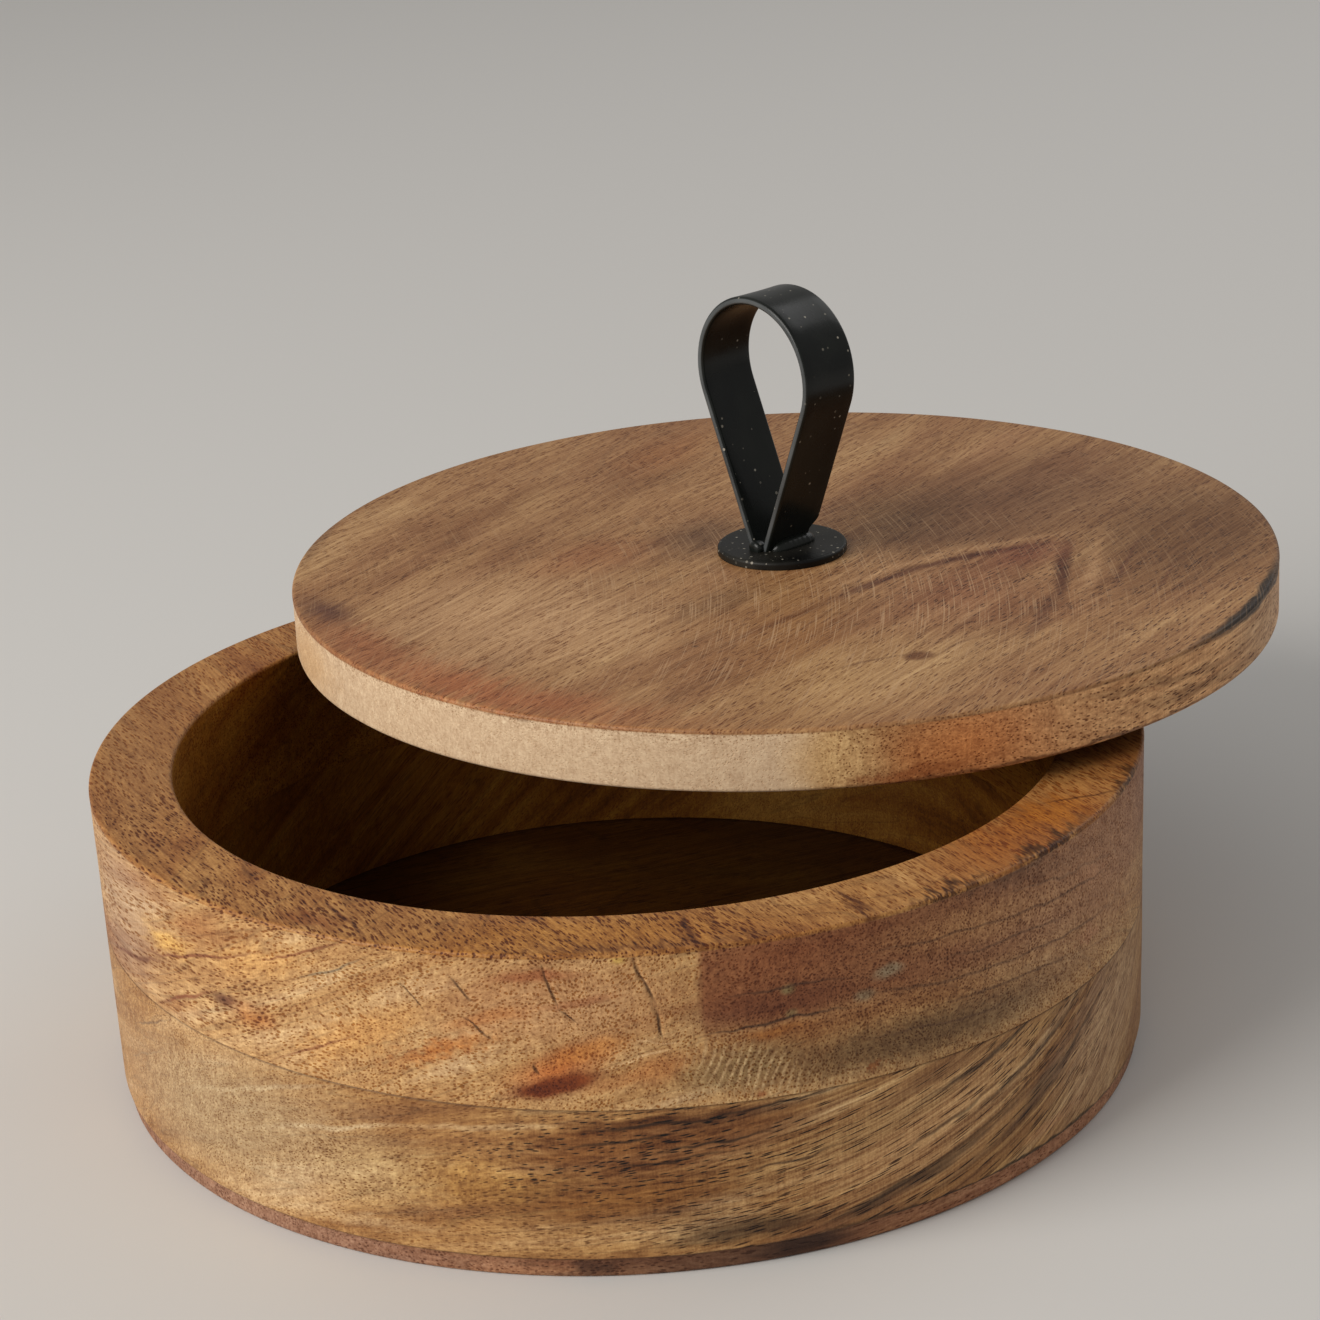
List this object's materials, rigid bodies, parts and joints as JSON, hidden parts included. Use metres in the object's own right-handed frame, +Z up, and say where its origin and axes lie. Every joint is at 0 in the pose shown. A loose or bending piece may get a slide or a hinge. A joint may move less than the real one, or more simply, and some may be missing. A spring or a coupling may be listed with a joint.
{
  "type": "storage box",
  "caption": "Round wooden storage box of two glued rings on a stepped base board, with a lift-off lid and a bent black steel strap handle.",
  "frame": {"origin": "centre of the base's underside", "axes": "+Z up along the box's axis; +X to the right and +Y away from the viewer of the picture; the lid lies askew towards +X and +Y"},
  "size_m": [0.2715, 0.292, 0.1517],
  "materials": {
    "base_wood": "oiled hardwood, reddish brown",
    "lower_ring_wood": "oiled hardwood, golden brown with dark streaks",
    "upper_ring_wood": "oiled hardwood, orange brown, figured",
    "lid_wood": "oiled hardwood, mid brown, sanded",
    "black_powder_coat": "satin black powder coat on steel",
    "zinc_plated_steel": "bright zinc plate"
  },
  "bodies": {
    "box": {"base_board": "base_wood", "lower_ring": "lower_ring_wood", "upper_ring": "upper_ring_wood"},
    "lid": {"lid_board": "lid_wood", "handle_flange": "black_powder_coat", "handle_strip": "black_powder_coat", "handle_weld": "black_powder_coat", "handle_screw": "zinc_plated_steel", "screw_washer": "zinc_plated_steel"}
  },
  "joints": [
    {"name": "lid_lift", "type": "slide", "parent": "box", "child": "lid", "axis": [0, 0, 1], "range_m": [0, 0.12]}
  ]
}
